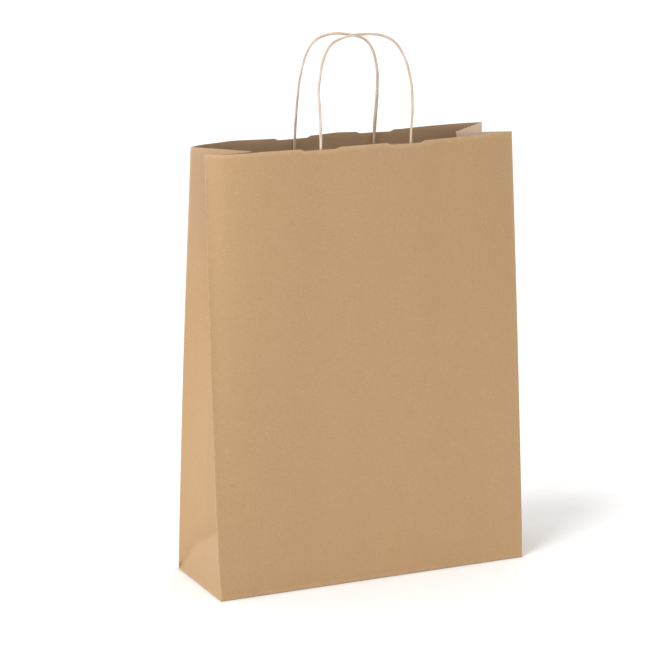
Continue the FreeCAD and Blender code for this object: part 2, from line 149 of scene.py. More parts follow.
# ---------------------------------------------------------------- the bag's form
@dataclass(frozen=True)
class BagForm:
    """Where the folded sheet lies: its two walls, its vertical folds and its notched mouth.

    Edges give each wall's Y along the mouth, crests how far its top edge is above level, and slack
    the front wall's Y without the curl beside its left fold. Bow and spread set how far the
    vertical folds stand out, and legs where each cord crosses its notches.
    """

    half_width: float
    half_depth: float
    mouth: float
    paper: float
    roll: float
    notch_depth: float = 1.8 * MM
    notch_top: float = 40.0 * MM
    notch_floor: float = 31.5 * MM
    top_inset: float = 1.0 * MM
    fold_reach: float = 1.1 * MM
    glue_gap: float = 0.1 * MM
    cord_diameter: float = 2.6 * MM
    spread_at_floor: float = 0.5
    spread_full_at: float = 0.08
    curl_power: int = 3
    calm_beside_folds: tuple[float, float] = (0.140, 0.158)
    wave_height: float = 0.35 * MM
    wave_scale: float = 0.021
    wave_lean: float = 5.0
    ridge_x: float = 0.084
    ridge_height: float = 0.55 * MM
    ridge_spread: float = 3.5 * MM
    ridge_below_mouth: tuple[float, float] = (0.060, 0.008)
    bow: dict[Side, float] = field(
        default_factory=lambda: {Side.LEFT: 1.3 * MM, Side.RIGHT: 0.8 * MM}
    )
    edges: dict[Wall, EdgeCurve] = field(
        default_factory=lambda: {
            Wall.FRONT: EdgeCurve((
                (-0.159, -0.0245), (-0.1515, -0.0305), (-0.142, -0.0361), (-0.127, -0.0403),
                (-0.110, -0.0430), (-0.077, -0.0447), (-0.0515, -0.0446), (0.0, -0.0462),
                (0.040, -0.0448), (0.087, -0.0375), (0.125, -0.0300), (0.159, -0.0220),
            )),
            Wall.BACK: EdgeCurve((
                (-0.159, 0.0135), (-0.140, 0.0240), (-0.109, 0.0300), (-0.070, 0.0310),
                (-0.044, 0.0334), (0.005, 0.0385), (0.0395, 0.0399), (0.063, 0.0382),
                (0.100, 0.0392), (0.136, 0.0405), (0.159, 0.0380),
            )),
        }
    )
    slack: EdgeCurve = EdgeCurve((
        (-0.159, -0.0245), (-0.130, -0.0362), (-0.090, -0.0432), (-0.0515, -0.0446), (0.0, -0.0462),
        (0.040, -0.0448), (0.087, -0.0375), (0.125, -0.0300), (0.159, -0.0220),
    ))
    spread: dict[tuple[Wall, Side], float] = field(
        default_factory=lambda: {
            (Wall.FRONT, Side.LEFT): 1.9 * MM,
            (Wall.FRONT, Side.RIGHT): 1.1 * MM,
            (Wall.BACK, Side.LEFT): 0.2 * MM,
            (Wall.BACK, Side.RIGHT): 0.8 * MM,
        }
    )
    crests: dict[Wall, EdgeCurve] = field(
        default_factory=lambda: {
            Wall.FRONT: EdgeCurve((
                (-0.159, -0.0016), (-0.142, -0.0014), (-0.122, -0.0006), (-0.105, 0.0001),
                (-0.080, 0.0002), (-0.030, 0.0001), (0.006, 0.0006), (0.060, 0.0002), (0.159, -0.0006),
            )),
            Wall.BACK: EdgeCurve((
                (-0.159, -0.0001), (-0.130, -0.0002), (-0.108, 0.0003), (-0.070, -0.0006),
                (-0.022, -0.0007), (0.002, 0.0), (0.022, -0.0007), (0.068, -0.0008),
                (0.086, -0.0002), (0.112, 0.0002), (0.159, 0.0004),
            )),
        }
    )
    legs: dict[Wall, tuple[float, float]] = field(
        default_factory=lambda: {
            Wall.FRONT: (-0.0520, 0.0397),
            Wall.BACK: (-0.0457, 0.0411),
        }
    )
    notches: dict[Wall, tuple[float, float]] = field(
        default_factory=lambda: {
            Wall.FRONT: (-0.0530, 0.0345),
            Wall.BACK: (-0.0465, 0.0425),
        }
    )

    @classmethod
    def from_frame(cls) -> "BagForm":
        """Reads the bag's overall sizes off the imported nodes.

        Returns:
            The form of the whole bag.
        """
        low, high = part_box("front_panel")
        flap_low, flap_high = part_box("bottom_back_flap")
        half_depth = -low.y
        return cls(
            half_width=high.x,
            half_depth=half_depth,
            mouth=high.z,
            paper=flap_high.z - flap_low.z,
            roll=half_depth - flap_high.y,
        )

    @property
    def notch_level(self) -> float:
        """The height of the notch floors, where the cords pass."""
        return self.mouth - self.notch_depth

    def fold_x(self, wall: Wall, side: Side, height: np.ndarray) -> np.ndarray:
        """Where the vertical fold between a wall and a side is along X.

        Args:
            wall: the wall.
            side: the side.
            height: heights above the floor.

        Returns:
            X at each height.
        """
        rise = np.clip(height / self.mouth, 0.0, 1.0)
        swell = self.bow[side] * np.sin(np.pi * rise)
        low = self.spread_at_floor
        share = low + (1.0 - low) * smooth_step(0.0, self.spread_full_at, rise)
        spread = self.spread[wall, side] * share
        return side.out * (self.half_width - self.top_inset * rise + swell + spread)

    def corner_rise(self, wall: Wall, side: Side) -> float:
        """How far the top of a vertical fold is above the level mouth; below it is negative."""
        return float(self.crests[wall].at(np.array(side.out * self.half_width)))

    def wall_y(self, wall: Wall, across: np.ndarray, height: np.ndarray) -> np.ndarray:
        """The outer face of a wall, with the soft ridges and waves of standing paper.

        Args:
            wall: the wall.
            across: places along X.
            height: heights above the floor, of the same shape.

        Returns:
            Y at each place.
        """
        rise = np.clip(height / self.mouth, 0.0, 1.0)
        fold = wall.out * self.half_depth
        edge = self.edges[wall].at(across)
        slack = self.slack.at(across) if wall is Wall.FRONT else edge
        face = fold + (slack - fold) * rise + (edge - slack) * rise**self.curl_power
        calm = 1.0 - smooth_step(*self.calm_beside_folds, np.abs(across))
        wave = np.sin(across / self.wave_scale + self.wave_lean * rise)
        swell = self.wave_height * wave * rise * (1.0 - rise) * calm
        if wall is Wall.FRONT:
            begin, full = (self.mouth - below for below in self.ridge_below_mouth)
            top = smooth_step(begin, full, height)
            swell = swell + self.ridge_height * bell(across, self.ridge_x, self.ridge_spread) * top
        return face + wall.out * swell

    def cut(self, wall: Wall, across: np.ndarray) -> np.ndarray:
        """How deep the notches in a wall's top edge are.

        Args:
            wall: the wall.
            across: places along X.

        Returns:
            The depth below the uncut edge at each place.
        """
        depth = np.zeros_like(across)
        slant = (self.notch_top - self.notch_floor) / 2.0
        for middle in self.notches[wall]:
            inside = (self.notch_top / 2.0 - np.abs(across - middle)) / slant
            depth = depth + self.notch_depth * np.clip(inside, 0.0, 1.0)
        return depth

    def notch_corners(self, wall: Wall) -> list[float]:
        """The X of every corner of a wall's two notches."""
        return [
            middle + way * width / 2.0
            for middle in self.notches[wall]
            for width in (self.notch_top, self.notch_floor)
            for way in (-1, 1)
        ]


@dataclass(frozen=True)
class FootCrease:
    """The marks that folding the bottom flat leaves low on a side: a soft crease and a pinch, with
    painted shade above the crease and in the pinch and painted light below the crease.
    """

    half_depth: float
    line: EdgeCurve = EdgeCurve((
        (-0.055, 0.068), (-0.029, 0.056), (-0.014, 0.048), (0.001, 0.041), (0.017, 0.027),
        (0.032, 0.0150), (0.042, 0.0072), (0.050, 0.0028), (0.055, 0.0),
    ))
    swell: float = 1.9 * MM
    swell_start: float = 0.006
    swell_reach: float = 0.045
    swell_end: float = 12.0 * MM
    pinch: float = 3.0 * MM
    pinch_inward: float = 4.0 * MM
    pinch_above: float = 2.0 * MM
    pinch_width: float = 5.5 * MM
    pinch_height: float = 1.6 * MM
    # Painted shade above the crease and in the pinch, and painted light below the crease.
    shade: float = 0.26
    shade_start: float = 7.0 * MM
    shade_reach: float = 0.016
    corner_shade: float = 0.95
    corner_reach: float = 9.0 * MM
    corner_above: float = 2.2 * MM
    corner_height: float = 2.6 * MM
    light: float = 0.07
    light_blur: float = 3.0 * MM

    def relief(self, y: np.ndarray, z: np.ndarray) -> np.ndarray:
        """How far the marks push the side in; the swell above the crease stands out.

        Args:
            y: places along Y.
            z: heights, of the same shape.

        Returns:
            The distance inwards at each place.
        """
        foot = self.half_depth
        above = z - self.line.at(y)
        over = np.clip(above, 0.0, None)
        swell = -self.swell * (1.0 - np.exp(-over / self.swell_start)) * np.exp(-over / self.swell_reach)
        beside = bell(y, foot - self.pinch_inward, self.pinch_width)
        pinch = self.pinch * beside * bell(above, self.pinch_above, self.pinch_height)
        return swell * smooth_step(foot, foot - self.swell_end, y) + pinch

    def tone(self, y: np.ndarray, z: np.ndarray) -> np.ndarray:
        """The painted shade above the crease and in the pinch, and a little painted light below the
        crease.

        Args:
            y: places along Y.
            z: heights, of the same shape.

        Returns:
            The tone at each place; below 0 it is painted shade, above 0 painted light.
        """
        above = z - self.line.at(y)
        over = np.clip(above, 0.0, None)
        band = -self.shade * smooth_step(0.0, self.shade_start, above) * np.exp(-over / self.shade_reach)
        beside = np.exp(-np.clip(self.half_depth - y, 0.0, None) / self.corner_reach)
        corner = -self.corner_shade * beside * bell(above, self.corner_above, self.corner_height)
        light = self.light * (1.0 - smooth_step(-self.light_blur, self.light_blur, above))
        return band + corner + light


@dataclass(frozen=True)
class GussetForm:
    """One side of the bag, from its two vertical folds in to its crease.

    A painted light makes the paper paler from a given share of the height up, and sag is how far the top
    edge of the half beside each wall hangs.
    """

    form: BagForm
    side: Side
    foot_crease: FootCrease
    crease_top: tuple[float, float, float]
    push_power: float = 1.45
    soft_low: float = 0.36
    soft_high: float = 0.035
    relief_start: float = 0.12
    beside_fold: float = 2.0 * MM
    onward_share: float = 0.05
    painted_light: float = 0.0
    painted_light_from: float = 0.90
    sag: dict[Wall, float] = field(default_factory=dict)

    def tone(self, y: np.ndarray, z: np.ndarray) -> np.ndarray:
        """Painted light and shade: above 0 painted light near the top and below the foot's crease, below
        0 painted shade above that crease.
        """
        share = smooth_step(self.painted_light_from, 1.0, z / self.form.mouth)
        return self.foot_crease.tone(y, z) + self.painted_light * share

    def middle_x(self, height: np.ndarray) -> np.ndarray:
        """X halfway between the side's two vertical folds."""
        return sum(self.form.fold_x(wall, self.side, height) for wall in Wall) / len(Wall)

    def face(self, wall: Wall, across: np.ndarray, up: np.ndarray) -> np.ndarray:
        """The outer face of the half beside one wall.

        Args:
            wall: the wall that the half is joined to.
            across: 0 at the wall's fold to 1 at the crease.
            up: 0 on the slanted edge of the foot to 1 at the top edge.

        Returns:
            Points, with X, Y and Z along the last axis.
        """
        form = self.form
        crease_x, crease_y, crease_z = self.crease_top
        low = form.half_depth * across
        corner_z = form.mouth + form.corner_rise(wall, self.side)
        high = corner_z + (crease_z - corner_z) * across
        z = low + (high - low) * up
        hang = self.sag.get(wall, 0.0) * np.sin(np.pi * np.clip(across, 0.0, 1.0))
        z = z - hang * up**TOP_POWER
        fold_x = form.fold_x(wall, self.side, z)
        fold_y = form.wall_y(wall, fold_x, z)
        base_x = fold_x + (self.middle_x(z) - fold_x) * across
        climb = np.clip((z - form.half_depth) / (crease_z - form.half_depth), 0.0, 1.0)
        y = fold_y + (crease_y * climb - fold_y) * across
        soft = self.soft_low + (self.soft_high - self.soft_low) * np.sqrt(up)
        from_crease = 1.0 - across
        round_off = (np.sqrt(from_crease**2 + soft**2) - soft) / (np.sqrt(1.0 + soft**2) - soft)
        reach = abs(self.middle_x(np.array(crease_z)) - crease_x)
        push = reach * up**self.push_power * (1.0 - round_off)
        relief = self.foot_crease.relief(y, z) * smooth_step(0.0, self.relief_start, across)
        return np.stack((base_x - self.side.out * (push + relief), y, z), axis=-1)

    def fold_round(self, wall: Wall, height: np.ndarray, turn: np.ndarray) -> np.ndarray:
        """The rounded vertical fold between this side and a wall.

        Args:
            wall: the wall.
            height: heights, one per row.
            turn: 0 where the wall's flat begins to 1 where the gusset's does, one per column.

        Returns:
            Points, rows by columns by three.
        """
        form = self.form
        fold_x = form.fold_x(wall, self.side, height)
        corner = np.stack((fold_x, form.wall_y(wall, fold_x, height)), axis=-1)
        beside_x = fold_x - self.side.out * self.beside_fold
        beside = np.stack((beside_x, form.wall_y(wall, beside_x, height)), axis=-1)
        step = np.full_like(height, self.onward_share)
        onward = self.face(wall, step, height / form.mouth)[..., :2]
        ways = []
        for other in (beside, onward):
            way = other - corner
            ways.append(way / np.linalg.norm(way, axis=-1, keepdims=True))
        start = (corner + ways[0] * form.fold_reach)[:, None, :]
        finish = (corner + ways[1] * form.fold_reach)[:, None, :]
        t = turn[None, :, None]
        plan = (1 - t) ** 2 * start + 2 * t * (1 - t) * corner[:, None, :] + t**2 * finish
        level = height + form.corner_rise(wall, self.side) * (height / form.mouth) ** TOP_POWER
        rows = np.repeat(level[:, None, None], len(turn), axis=1)
        return np.concatenate((plan, rows), axis=-1)


@dataclass(frozen=True)
class Wear:
    """How much rubbing the paper has along its folds and edges, from 0 to 1; on the folds, the creases
    and the bottom edge it is partly a painted highlight, stronger towards the mouth on the folds and
    creases.
    """

    low_share: float = 0.25
    starts_at: float = 0.45
    full_at: float = 0.95
    fold_reach: float = 0.9 * MM
    crease: float = 0.45
    crease_reach: float = 1.2 * MM
    floor: float = 0.8
    floor_reach: float = 1.0 * MM
    mouth: float = 0.6
    mouth_reach: float = 0.6 * MM
    cut_reach: float = 0.8 * MM

    def high_up(self, share: np.ndarray) -> np.ndarray:
        """0 low on the bag to 1 near its mouth, as a column with one row for each height."""
        return smooth_step(self.starts_at, self.full_at, share)[:, None]

    def at_fold(self, distance: np.ndarray, share: np.ndarray) -> np.ndarray:
        """Rubbing and painted highlight at a distance from a vertical fold, for rows at shares of the
        height.
        """
        strength = self.low_share + (1.0 - self.low_share) * self.high_up(share)
        return strength * np.exp(-distance / self.fold_reach)

    def at_crease(self, distance: np.ndarray, share: np.ndarray) -> np.ndarray:
        """Rubbing and painted highlight at a distance from a gusset's crease, for rows at shares of the
        height.
        """
        return self.crease * self.high_up(share) * np.exp(-distance / self.crease_reach)

    def at_floor(self, height: np.ndarray) -> np.ndarray:
        """Rubbing and painted highlight at a height above the floor."""
        return self.floor * np.exp(-height / self.floor_reach)

    def at_mouth(self, below: np.ndarray) -> np.ndarray:
        """The wear at a distance below the mouth's edge."""
        return self.mouth * np.exp(-below / self.mouth_reach)

    def at_cut(self, distance: np.ndarray, strength: float = 1.0) -> np.ndarray:
        """The wear at a distance from a strip's cut edge."""
        return strength * np.exp(-distance / self.cut_reach)


# ---------------------------------------------------------------- meshes
def thick_sheet(
    name: str,
    face: np.ndarray,
    paper: float,
    outward: tuple[float, float, float],
    wear_and_highlight: np.ndarray,
    tone: np.ndarray | None = None,
) -> bpy.types.Object:
    """A closed sheet of paper from the grid of its outer face.

    Args:
        name: the piece's name.
        face: points of the outer face, rows by columns by three.
        paper: how thick it is.
        outward: roughly which way the outer face looks.
        wear_and_highlight: 0 to 1 at each point, how much rubbing the paper has there, partly a painted
            highlight.
        tone: the painted light at each point; below 0 it is painted shade. None leaves it plain.

    Returns:
        The new object.
    """
    rows, columns = face.shape[:2]
    normal = np.cross(np.gradient(face, axis=1), np.gradient(face, axis=0))
    normal /= np.maximum(np.linalg.norm(normal, axis=-1, keepdims=True), TINY)
    flipped = float((normal.mean(axis=(0, 1)) * np.array(outward)).sum()) < 0
    if flipped:
        normal = -normal
    points = np.concatenate((face.reshape(-1, 3), (face - normal * paper).reshape(-1, 3)))
    number = np.arange(rows * columns).reshape(rows, columns)
    quads = np.stack(
        (number[:-1, :-1], number[1:, :-1], number[1:, 1:], number[:-1, 1:]), axis=-1
    ).reshape(-1, 4)
    if flipped:
        quads = quads[:, ::-1]
    rim = np.concatenate((number[0, :], number[1:, -1], number[-1, -2::-1], number[-2::-1, 0]))
    if not flipped:
        rim = rim[::-1]
    under = rows * columns
    walls = np.stack((rim[:-1], rim[1:], rim[1:] + under, rim[:-1] + under), axis=-1)
    faces = np.concatenate((quads, quads[:, ::-1] + under, walls))
    mesh = bpy.data.meshes.new(name)
    mesh.from_pydata(points.tolist(), [], faces.tolist())
    mesh.validate()
    toned = np.zeros(under) if tone is None else tone.reshape(-1)
    marks = {
        "wear_and_highlight": np.tile(wear_and_highlight.reshape(-1), 2),
        "tone": np.concatenate((toned, INSIDE_TONE * toned)),
        "inner": np.repeat((0.0, 1.0), under),
    }
    for label, values in marks.items():
        mark = mesh.attributes.new(label, "FLOAT", "POINT")
        mark.data.foreach_set("value", values.astype(np.float32))
    return shaded(name, mesh)


def shaded(name: str, mesh: bpy.types.Mesh) -> bpy.types.Object:
    """Puts a mesh in the scene, smooth except at its cut edges.

    Args:
        name: the piece's name.
        mesh: its mesh.

    Returns:
        The new object.
    """
    mesh.polygons.foreach_set("use_smooth", np.ones(len(mesh.polygons), bool))
    mesh.set_sharp_from_angle(angle=SHARP_ANGLE)
    piece = bpy.data.objects.new(name, mesh)
    bpy.context.scene.collection.objects.link(piece)
    return piece


def dress(piece: bpy.types.Object, material: bpy.types.Material, slot: Slot) -> None:
    """Gives a new piece its material and names the slot that it belongs to.

    Args:
        piece: the piece.
        material: its finish.
        slot: the record's slot.
    """
    piece.data.materials.append(material)
    LOG.info("%s: %d faces, %s", piece.name, len(piece.data.polygons), slot.value)


# ---------------------------------------------------------------- node helpers
class Board:
    """A node tree, with short ways to add nodes and join them."""

    def __init__(self, tree: bpy.types.NodeTree) -> None:
        """Takes the tree to work on."""
        self.tree = tree

    def add(self, kind: str, **settings: object) -> bpy.types.Node:
        """Adds a node.

        Args:
            kind: the node's type.
            settings: its properties, by name.

        Returns:
            The node.
        """
        node = self.tree.nodes.new(kind)
        for name, value in settings.items():
            setattr(node, name, value)
        return node

    def feed(self, target: bpy.types.NodeSocket, source: object) -> None:
        """Joins a socket to an input, or sets the input to a plain value.

        Args:
            target: the input.
            source: a socket or a value.
        """
        if isinstance(source, bpy.types.NodeSocket):
            self.tree.links.new(source, target)
        else:
            target.default_value = source

    def maths(self, operation: str, *values: object) -> bpy.types.NodeSocket:
        """Adds one arithmetic step.

        Args:
            operation: what it does.
            values: sockets or numbers.

        Returns:
            The result.
        """
        node = self.add("ShaderNodeMath", operation=operation)
        for socket, value in zip(node.inputs, values):
            self.feed(socket, value)
        return node.outputs[0]

    def stretch(self, vector: object, scale: tuple[float, float, float]) -> bpy.types.NodeSocket:
        """Multiplies coordinates axis by axis.

        Args:
            vector: the coordinates.
            scale: the factor on each axis.

        Returns:
            The new coordinates.
        """
        node = self.add("ShaderNodeVectorMath", operation="MULTIPLY")
        self.feed(node.inputs[0], vector)
        node.inputs[1].default_value = scale
        return node.outputs[0]

    def noise(self, vector: object, scale: object, detail: float) -> bpy.types.NodeSocket:
        """Adds a noise.

        Args:
            vector: the coordinates.
            scale: how fine it is.
            detail: how many finer layers it has.

        Returns:
            Its value, from 0 to 1.
        """
        node = self.add("ShaderNodeTexNoise")
        self.feed(node.inputs["Vector"], vector)
        self.feed(node.inputs["Scale"], scale)
        node.inputs["Detail"].default_value = detail
        return node.outputs["Fac"]

    def ramp(self, value: object, low: float, high: float) -> bpy.types.NodeSocket:
        """Maps low to 0 and high to 1, smoothly and no further.

        Args:
            value: the value to map.
            low: what becomes 0.
            high: what becomes 1.

        Returns:
            The mapped value.
        """
        node = self.add("ShaderNodeMapRange", interpolation_type="SMOOTHSTEP")
        self.feed(node.inputs["Value"], value)
        node.inputs["From Min"].default_value = low
        node.inputs["From Max"].default_value = high
        return node.outputs["Result"]

    def blend(self, share: object, first: object, second: object) -> bpy.types.NodeSocket:
        """Mixes two colours.

        Args:
            share: how much of the second shows; past 0 or 1 it is held there.
            first: the colour at 0.
            second: the colour at 1.

        Returns:
            The mixed colour.
        """
        node = self.add("ShaderNodeMix", data_type="RGBA", clamp_factor=True)
        self.feed(node.inputs["Factor"], share)
        self.feed(node.inputs[6], first)
        self.feed(node.inputs[7], second)
        return node.outputs[2]

    def wash(self, mask: object, amount: float, first: object, second: object) -> bpy.types.NodeSocket:
        """The first colour, washed over with the second by a mask times an amount."""
        return self.blend(self.maths("MULTIPLY", mask, amount), first, second)

    def mark(self, name: str) -> bpy.types.NodeSocket:
        """The value that a piece keeps on its points under a name."""
        return self.add("ShaderNodeAttribute", attribute_name=name).outputs["Fac"]

    def group(self, tree: bpy.types.NodeTree, **values: object) -> bpy.types.Node:
        """Places a node group and feeds its inputs.

        Args:
            tree: the group.
            values: what feeds each input, by name.

        Returns:
            The group's node.
        """
        node = self.add("ShaderNodeGroup", node_tree=tree)
        for name, value in values.items():
            self.feed(node.inputs[name], value)
        return node

    def surface(
        self,
        shader: bpy.types.Node,
        grain: bpy.types.NodeSocket,
        finish: "PaperFinish | CordFinish",
        height: bpy.types.NodeSocket,
    ) -> None:
        """Gives a shader its roughness, its gloss and its fine relief.

        Args:
            shader: the material's shader.
            grain: what the roughness follows, about its middle value.
            finish: the finish whose values are used.
            height: the height of the relief.
        """
        smoothest = finish.roughness - finish.rough_spread / 2.0
        rough = self.maths("ADD", self.maths("MULTIPLY", grain, finish.rough_spread), smoothest)
        self.feed(shader.inputs["Roughness"], rough)
        shader.inputs["Specular IOR Level"].default_value = finish.specular
        relief = self.add("ShaderNodeBump")
        relief.inputs["Strength"].default_value = finish.bump
        relief.inputs["Distance"].default_value = finish.bump_height
        self.feed(relief.inputs["Height"], height)
        self.feed(shader.inputs["Normal"], relief.outputs["Normal"])


def opaque(colour: tuple[float, ...]) -> tuple[float, ...]:
    """A colour with full alpha."""
    return (*colour, 1.0)


def new_material(
    name: str,
) -> tuple[bpy.types.Material, Board, bpy.types.Node, bpy.types.NodeSocket]:
    """A material with its shader and the piece's own coordinates.

    Args:
        name: the material's name.

    Returns:
        The material, a board on it, its shader and the coordinates.
    """
    material = bpy.data.materials.new(name)
    material.use_nodes = True
    board = Board(material.node_tree)
    place = board.add("ShaderNodeTexCoord").outputs["Object"]
    return material, board, material.node_tree.nodes["Principled BSDF"], place


def new_group(
    name: str, inputs: dict[str, str], outputs: dict[str, str]
) -> tuple[bpy.types.NodeTree, Board, bpy.types.Node, bpy.types.Node]:
    """An empty node group with named sockets.

    Args:
        name: the group's name.
        inputs: the socket type of each input.
        outputs: the socket type of each output.

    Returns:
        The tree, a board on it, its input node and its output node.
    """
    tree = bpy.data.node_groups.new(name, "ShaderNodeTree")
    for direction, sockets in (("INPUT", inputs), ("OUTPUT", outputs)):
        for label, kind in sockets.items():
            tree.interface.new_socket(label, in_out=direction, socket_type=f"NodeSocket{kind}")
    board = Board(tree)
    return tree, board, board.add("NodeGroupInput"), board.add("NodeGroupOutput")


def pulp_group() -> bpy.types.NodeTree:
    """Short paper fibres: a fine grain, scattered dark and pale flecks, and their relief.

    Returns:
        The group.
    """
    tree, board, given, result = new_group(
        "pulp", {"Vector": "Vector", "Scale": "Float"},
        {"Grain": "Float", "Dark": "Float", "Pale": "Float", "Height": "Float"},
    )
    lying_stretch, crossing_stretch = (1.0, 1.0, 0.42), (0.40, 0.9, 1.0)
    lying_fineness, crossing_fineness = 1.6, 1.2
    dark_fineness, pale_fineness, pale_height = 0.42, 0.50, 0.4
    vector, scale = given.outputs["Vector"], given.outputs["Scale"]
    lying = board.stretch(vector, lying_stretch)
    crossing = board.stretch(vector, crossing_stretch)
    grain = board.noise(lying, board.maths("MULTIPLY", scale, lying_fineness), detail=4.0)
    cross_grain = board.noise(crossing, board.maths("MULTIPLY", scale, crossing_fineness), detail=3.0)
    both = board.maths("MULTIPLY", board.maths("ADD", grain, cross_grain), 0.5)
    dark_spots = board.noise(crossing, board.maths("MULTIPLY", scale, dark_fineness), detail=1.0)
    pale_spots = board.noise(lying, board.maths("MULTIPLY", scale, pale_fineness), detail=1.0)
    dark = board.ramp(dark_spots, low=0.71, high=0.79)
    pale = board.ramp(pale_spots, low=0.70, high=0.80)
    raised = board.maths("ADD", both, board.maths("MULTIPLY", pale, pale_height))
    for label, socket in (("Grain", both), ("Dark", dark), ("Pale", pale), ("Height", raised)):
        board.feed(result.inputs[label], socket)
    return tree


def cloud_group() -> bpy.types.NodeTree:
    """The slow cloudiness of machine-made paper, drawn out along the web.

    Returns:
        The group.
    """
    tree, board, given, result = new_group(
        "cloud", {"Vector": "Vector", "Scale": "Float"}, {"Tone": "Float"}
    )
    web_stretch, small_fineness, broad_share = (1.0, 1.0, 0.22), 6.0, 0.7
    vector, scale = given.outputs["Vector"], given.outputs["Scale"]
    broad = board.noise(board.stretch(vector, web_stretch), scale, detail=2.0)
    small = board.noise(vector, board.maths("MULTIPLY", scale, small_fineness), detail=2.0)
    broad_part = board.maths("MULTIPLY", broad, broad_share)
    small_part = board.maths("MULTIPLY", small, 1.0 - broad_share)
    board.feed(result.inputs["Tone"], board.maths("ADD", broad_part, small_part))
    return tree


def rub_and_highlight_group() -> bpy.types.NodeTree:
    """Broken pale rubbing along folds and cut edges, partly a painted highlight along the folds.

    Returns:
        The group.
    """
    tree, board, given, result = new_group(
        "rub_and_highlight", {"Vector": "Vector", "Wear": "Float", "Amount": "Float"}, {"Mask": "Float"}
    )
    fineness, broken_share = 260.0, 0.65
    patchy = board.ramp(board.noise(given.outputs["Vector"], fineness, detail=3.0), low=0.25, high=0.70)
    uneven = board.maths("ADD", board.maths("MULTIPLY", patchy, broken_share), 1.0 - broken_share)
    worn_and_lit = board.maths("MULTIPLY", given.outputs["Wear"], uneven)
    board.feed(result.inputs["Mask"], board.maths("MULTIPLY", worn_and_lit, given.outputs["Amount"]))
    return tree


@dataclass(frozen=True)
class Groups:
    """The effects that more than one finish uses, each built once."""

    pulp: bpy.types.NodeTree
    cloud: bpy.types.NodeTree
    rub_and_highlight: bpy.types.NodeTree

    @classmethod
    def build(cls) -> "Groups":
        """Builds every shared group."""
        return cls(pulp_group(), cloud_group(), rub_and_highlight_group())


@dataclass(frozen=True)
class PaperFinish:
    """Uncoated kraft paper, with painted light and shade from each piece's tone mark and a painted
    highlight in the rubbing along its folds.
    """

    name: str
    colour: tuple[float, float, float]
    dark: tuple[float, float, float]
    pale: tuple[float, float, float]
    pulp_scale: float = 900.0
    cloud_scale: float = 9.0
    cloud_range: tuple[float, float] = (0.30, 0.72)
    cloud_amount: float = 0.55
    cloud_lift: float = 1.10
    grain_range: tuple[float, float] = (0.30, 0.70)
    grain_amount: float = 0.16
    dark_flecks: float = 0.22
    pale_flecks: float = 0.14
    # How strongly the pale rubbing shows, partly a painted highlight.
    wear_and_highlight: float = 0.55
    roughness: float = 0.86
    rough_spread: float = 0.10
    specular: float = 0.22
    bump: float = 0.22
    bump_height: float = 0.12 * MM
    inner: tuple[float, float, float] = (0.97, 1.03, 1.28)
    # The colour that the painted light moves the paper towards.
    painted_light: tuple[float, float, float] = (0.740, 0.590, 0.450)

    def build(self, groups: Groups) -> bpy.types.Material:
        """Makes the material.

        Args:
            groups: the shared effects.

        Returns:
            The material.
        """
        material, board, shader, place = new_material(self.name)
        pulp = board.group(groups.pulp, Vector=place, Scale=self.pulp_scale).outputs
        cloud = board.group(groups.cloud, Vector=place, Scale=self.cloud_scale).outputs
        rub_and_highlight = board.group(groups.rub_and_highlight, Vector=place, Wear=board.mark("wear_and_highlight"), Amount=self.wear_and_highlight).outputs
        colour, dark, pale = (opaque(each) for each in (self.colour, self.dark, self.pale))
        greyer = opaque(tuple(part * share for part, share in zip(self.colour, self.inner)))
        lighter = opaque(tuple(self.cloud_lift * part for part in self.colour))
        facing = board.blend(board.mark("inner"), colour, greyer)
        cloudy = board.ramp(cloud["Tone"], *self.cloud_range)
        clouded = board.wash(cloudy, self.cloud_amount, facing, lighter)
        grain = board.ramp(pulp["Grain"], *self.grain_range)
        grained = board.wash(grain, self.grain_amount, clouded, pale)
        flecked = board.wash(pulp["Dark"], self.dark_flecks, grained, dark)
        lifted = board.wash(pulp["Pale"], self.pale_flecks, flecked, pale)
        # Pale rubbing, partly a painted highlight along the folds, creases and bottom edge.
        rubbed_and_lit = board.blend(rub_and_highlight["Mask"], lifted, pale)
        # The tone mark paints light above 0 and shade below 0 over the paper's colour.
        tone = board.mark("tone")
        with_painted_light = board.blend(tone, rubbed_and_lit, opaque(self.painted_light))
        with_painted_shade = board.wash(tone, -1.0, with_painted_light, dark)
        board.feed(shader.inputs["Base Color"], with_painted_shade)
        board.surface(shader, grain, self, pulp["Height"])
        return material


@dataclass(frozen=True)
class CordFinish:
    """A narrow paper web twisted hard into a round cord, with painted shade in the grooves between its
    strands.
    """

    name: str
    colour: tuple[float, float, float]
    # The groove colour is the painted shade in the grooves; the dark flecks use it too.
    groove: tuple[float, float, float]
    pale: tuple[float, float, float]
    pulp_scale: float = 1500.0
    cloud_scale: float = 60.0
    cloud_range: tuple[float, float] = (0.35, 0.65)
    groove_amount: float = 0.75
    dark_flecks: float = 0.45
    roughness: float = 0.80
    rough_spread: float = 0.12
    specular: float = 0.25
    bump: float = 0.30
    bump_height: float = 0.10 * MM

    def build(self, groups: Groups) -> bpy.types.Material:
        """Makes the material.

        Args:
            groups: the shared effects.

        Returns:
            The material.
        """
        material, board, shader, place = new_material(self.name)
        pulp = board.group(groups.pulp, Vector=place, Scale=self.pulp_scale).outputs
        cloud = board.group(groups.cloud, Vector=place, Scale=self.cloud_scale).outputs
        colour, groove, pale = (opaque(each) for each in (self.colour, self.groove, self.pale))
        toned = board.blend(board.ramp(cloud["Tone"], *self.cloud_range), colour, pale)
        # Painted shade in the grooves between the strands.
        groove_shaded = board.wash(board.mark("groove"), self.groove_amount, toned, groove)
        flecked = board.wash(pulp["Dark"], self.dark_flecks, groove_shaded, groove)
        board.feed(shader.inputs["Base Color"], flecked)
        board.surface(shader, pulp["Grain"], self, pulp["Height"])
        return material


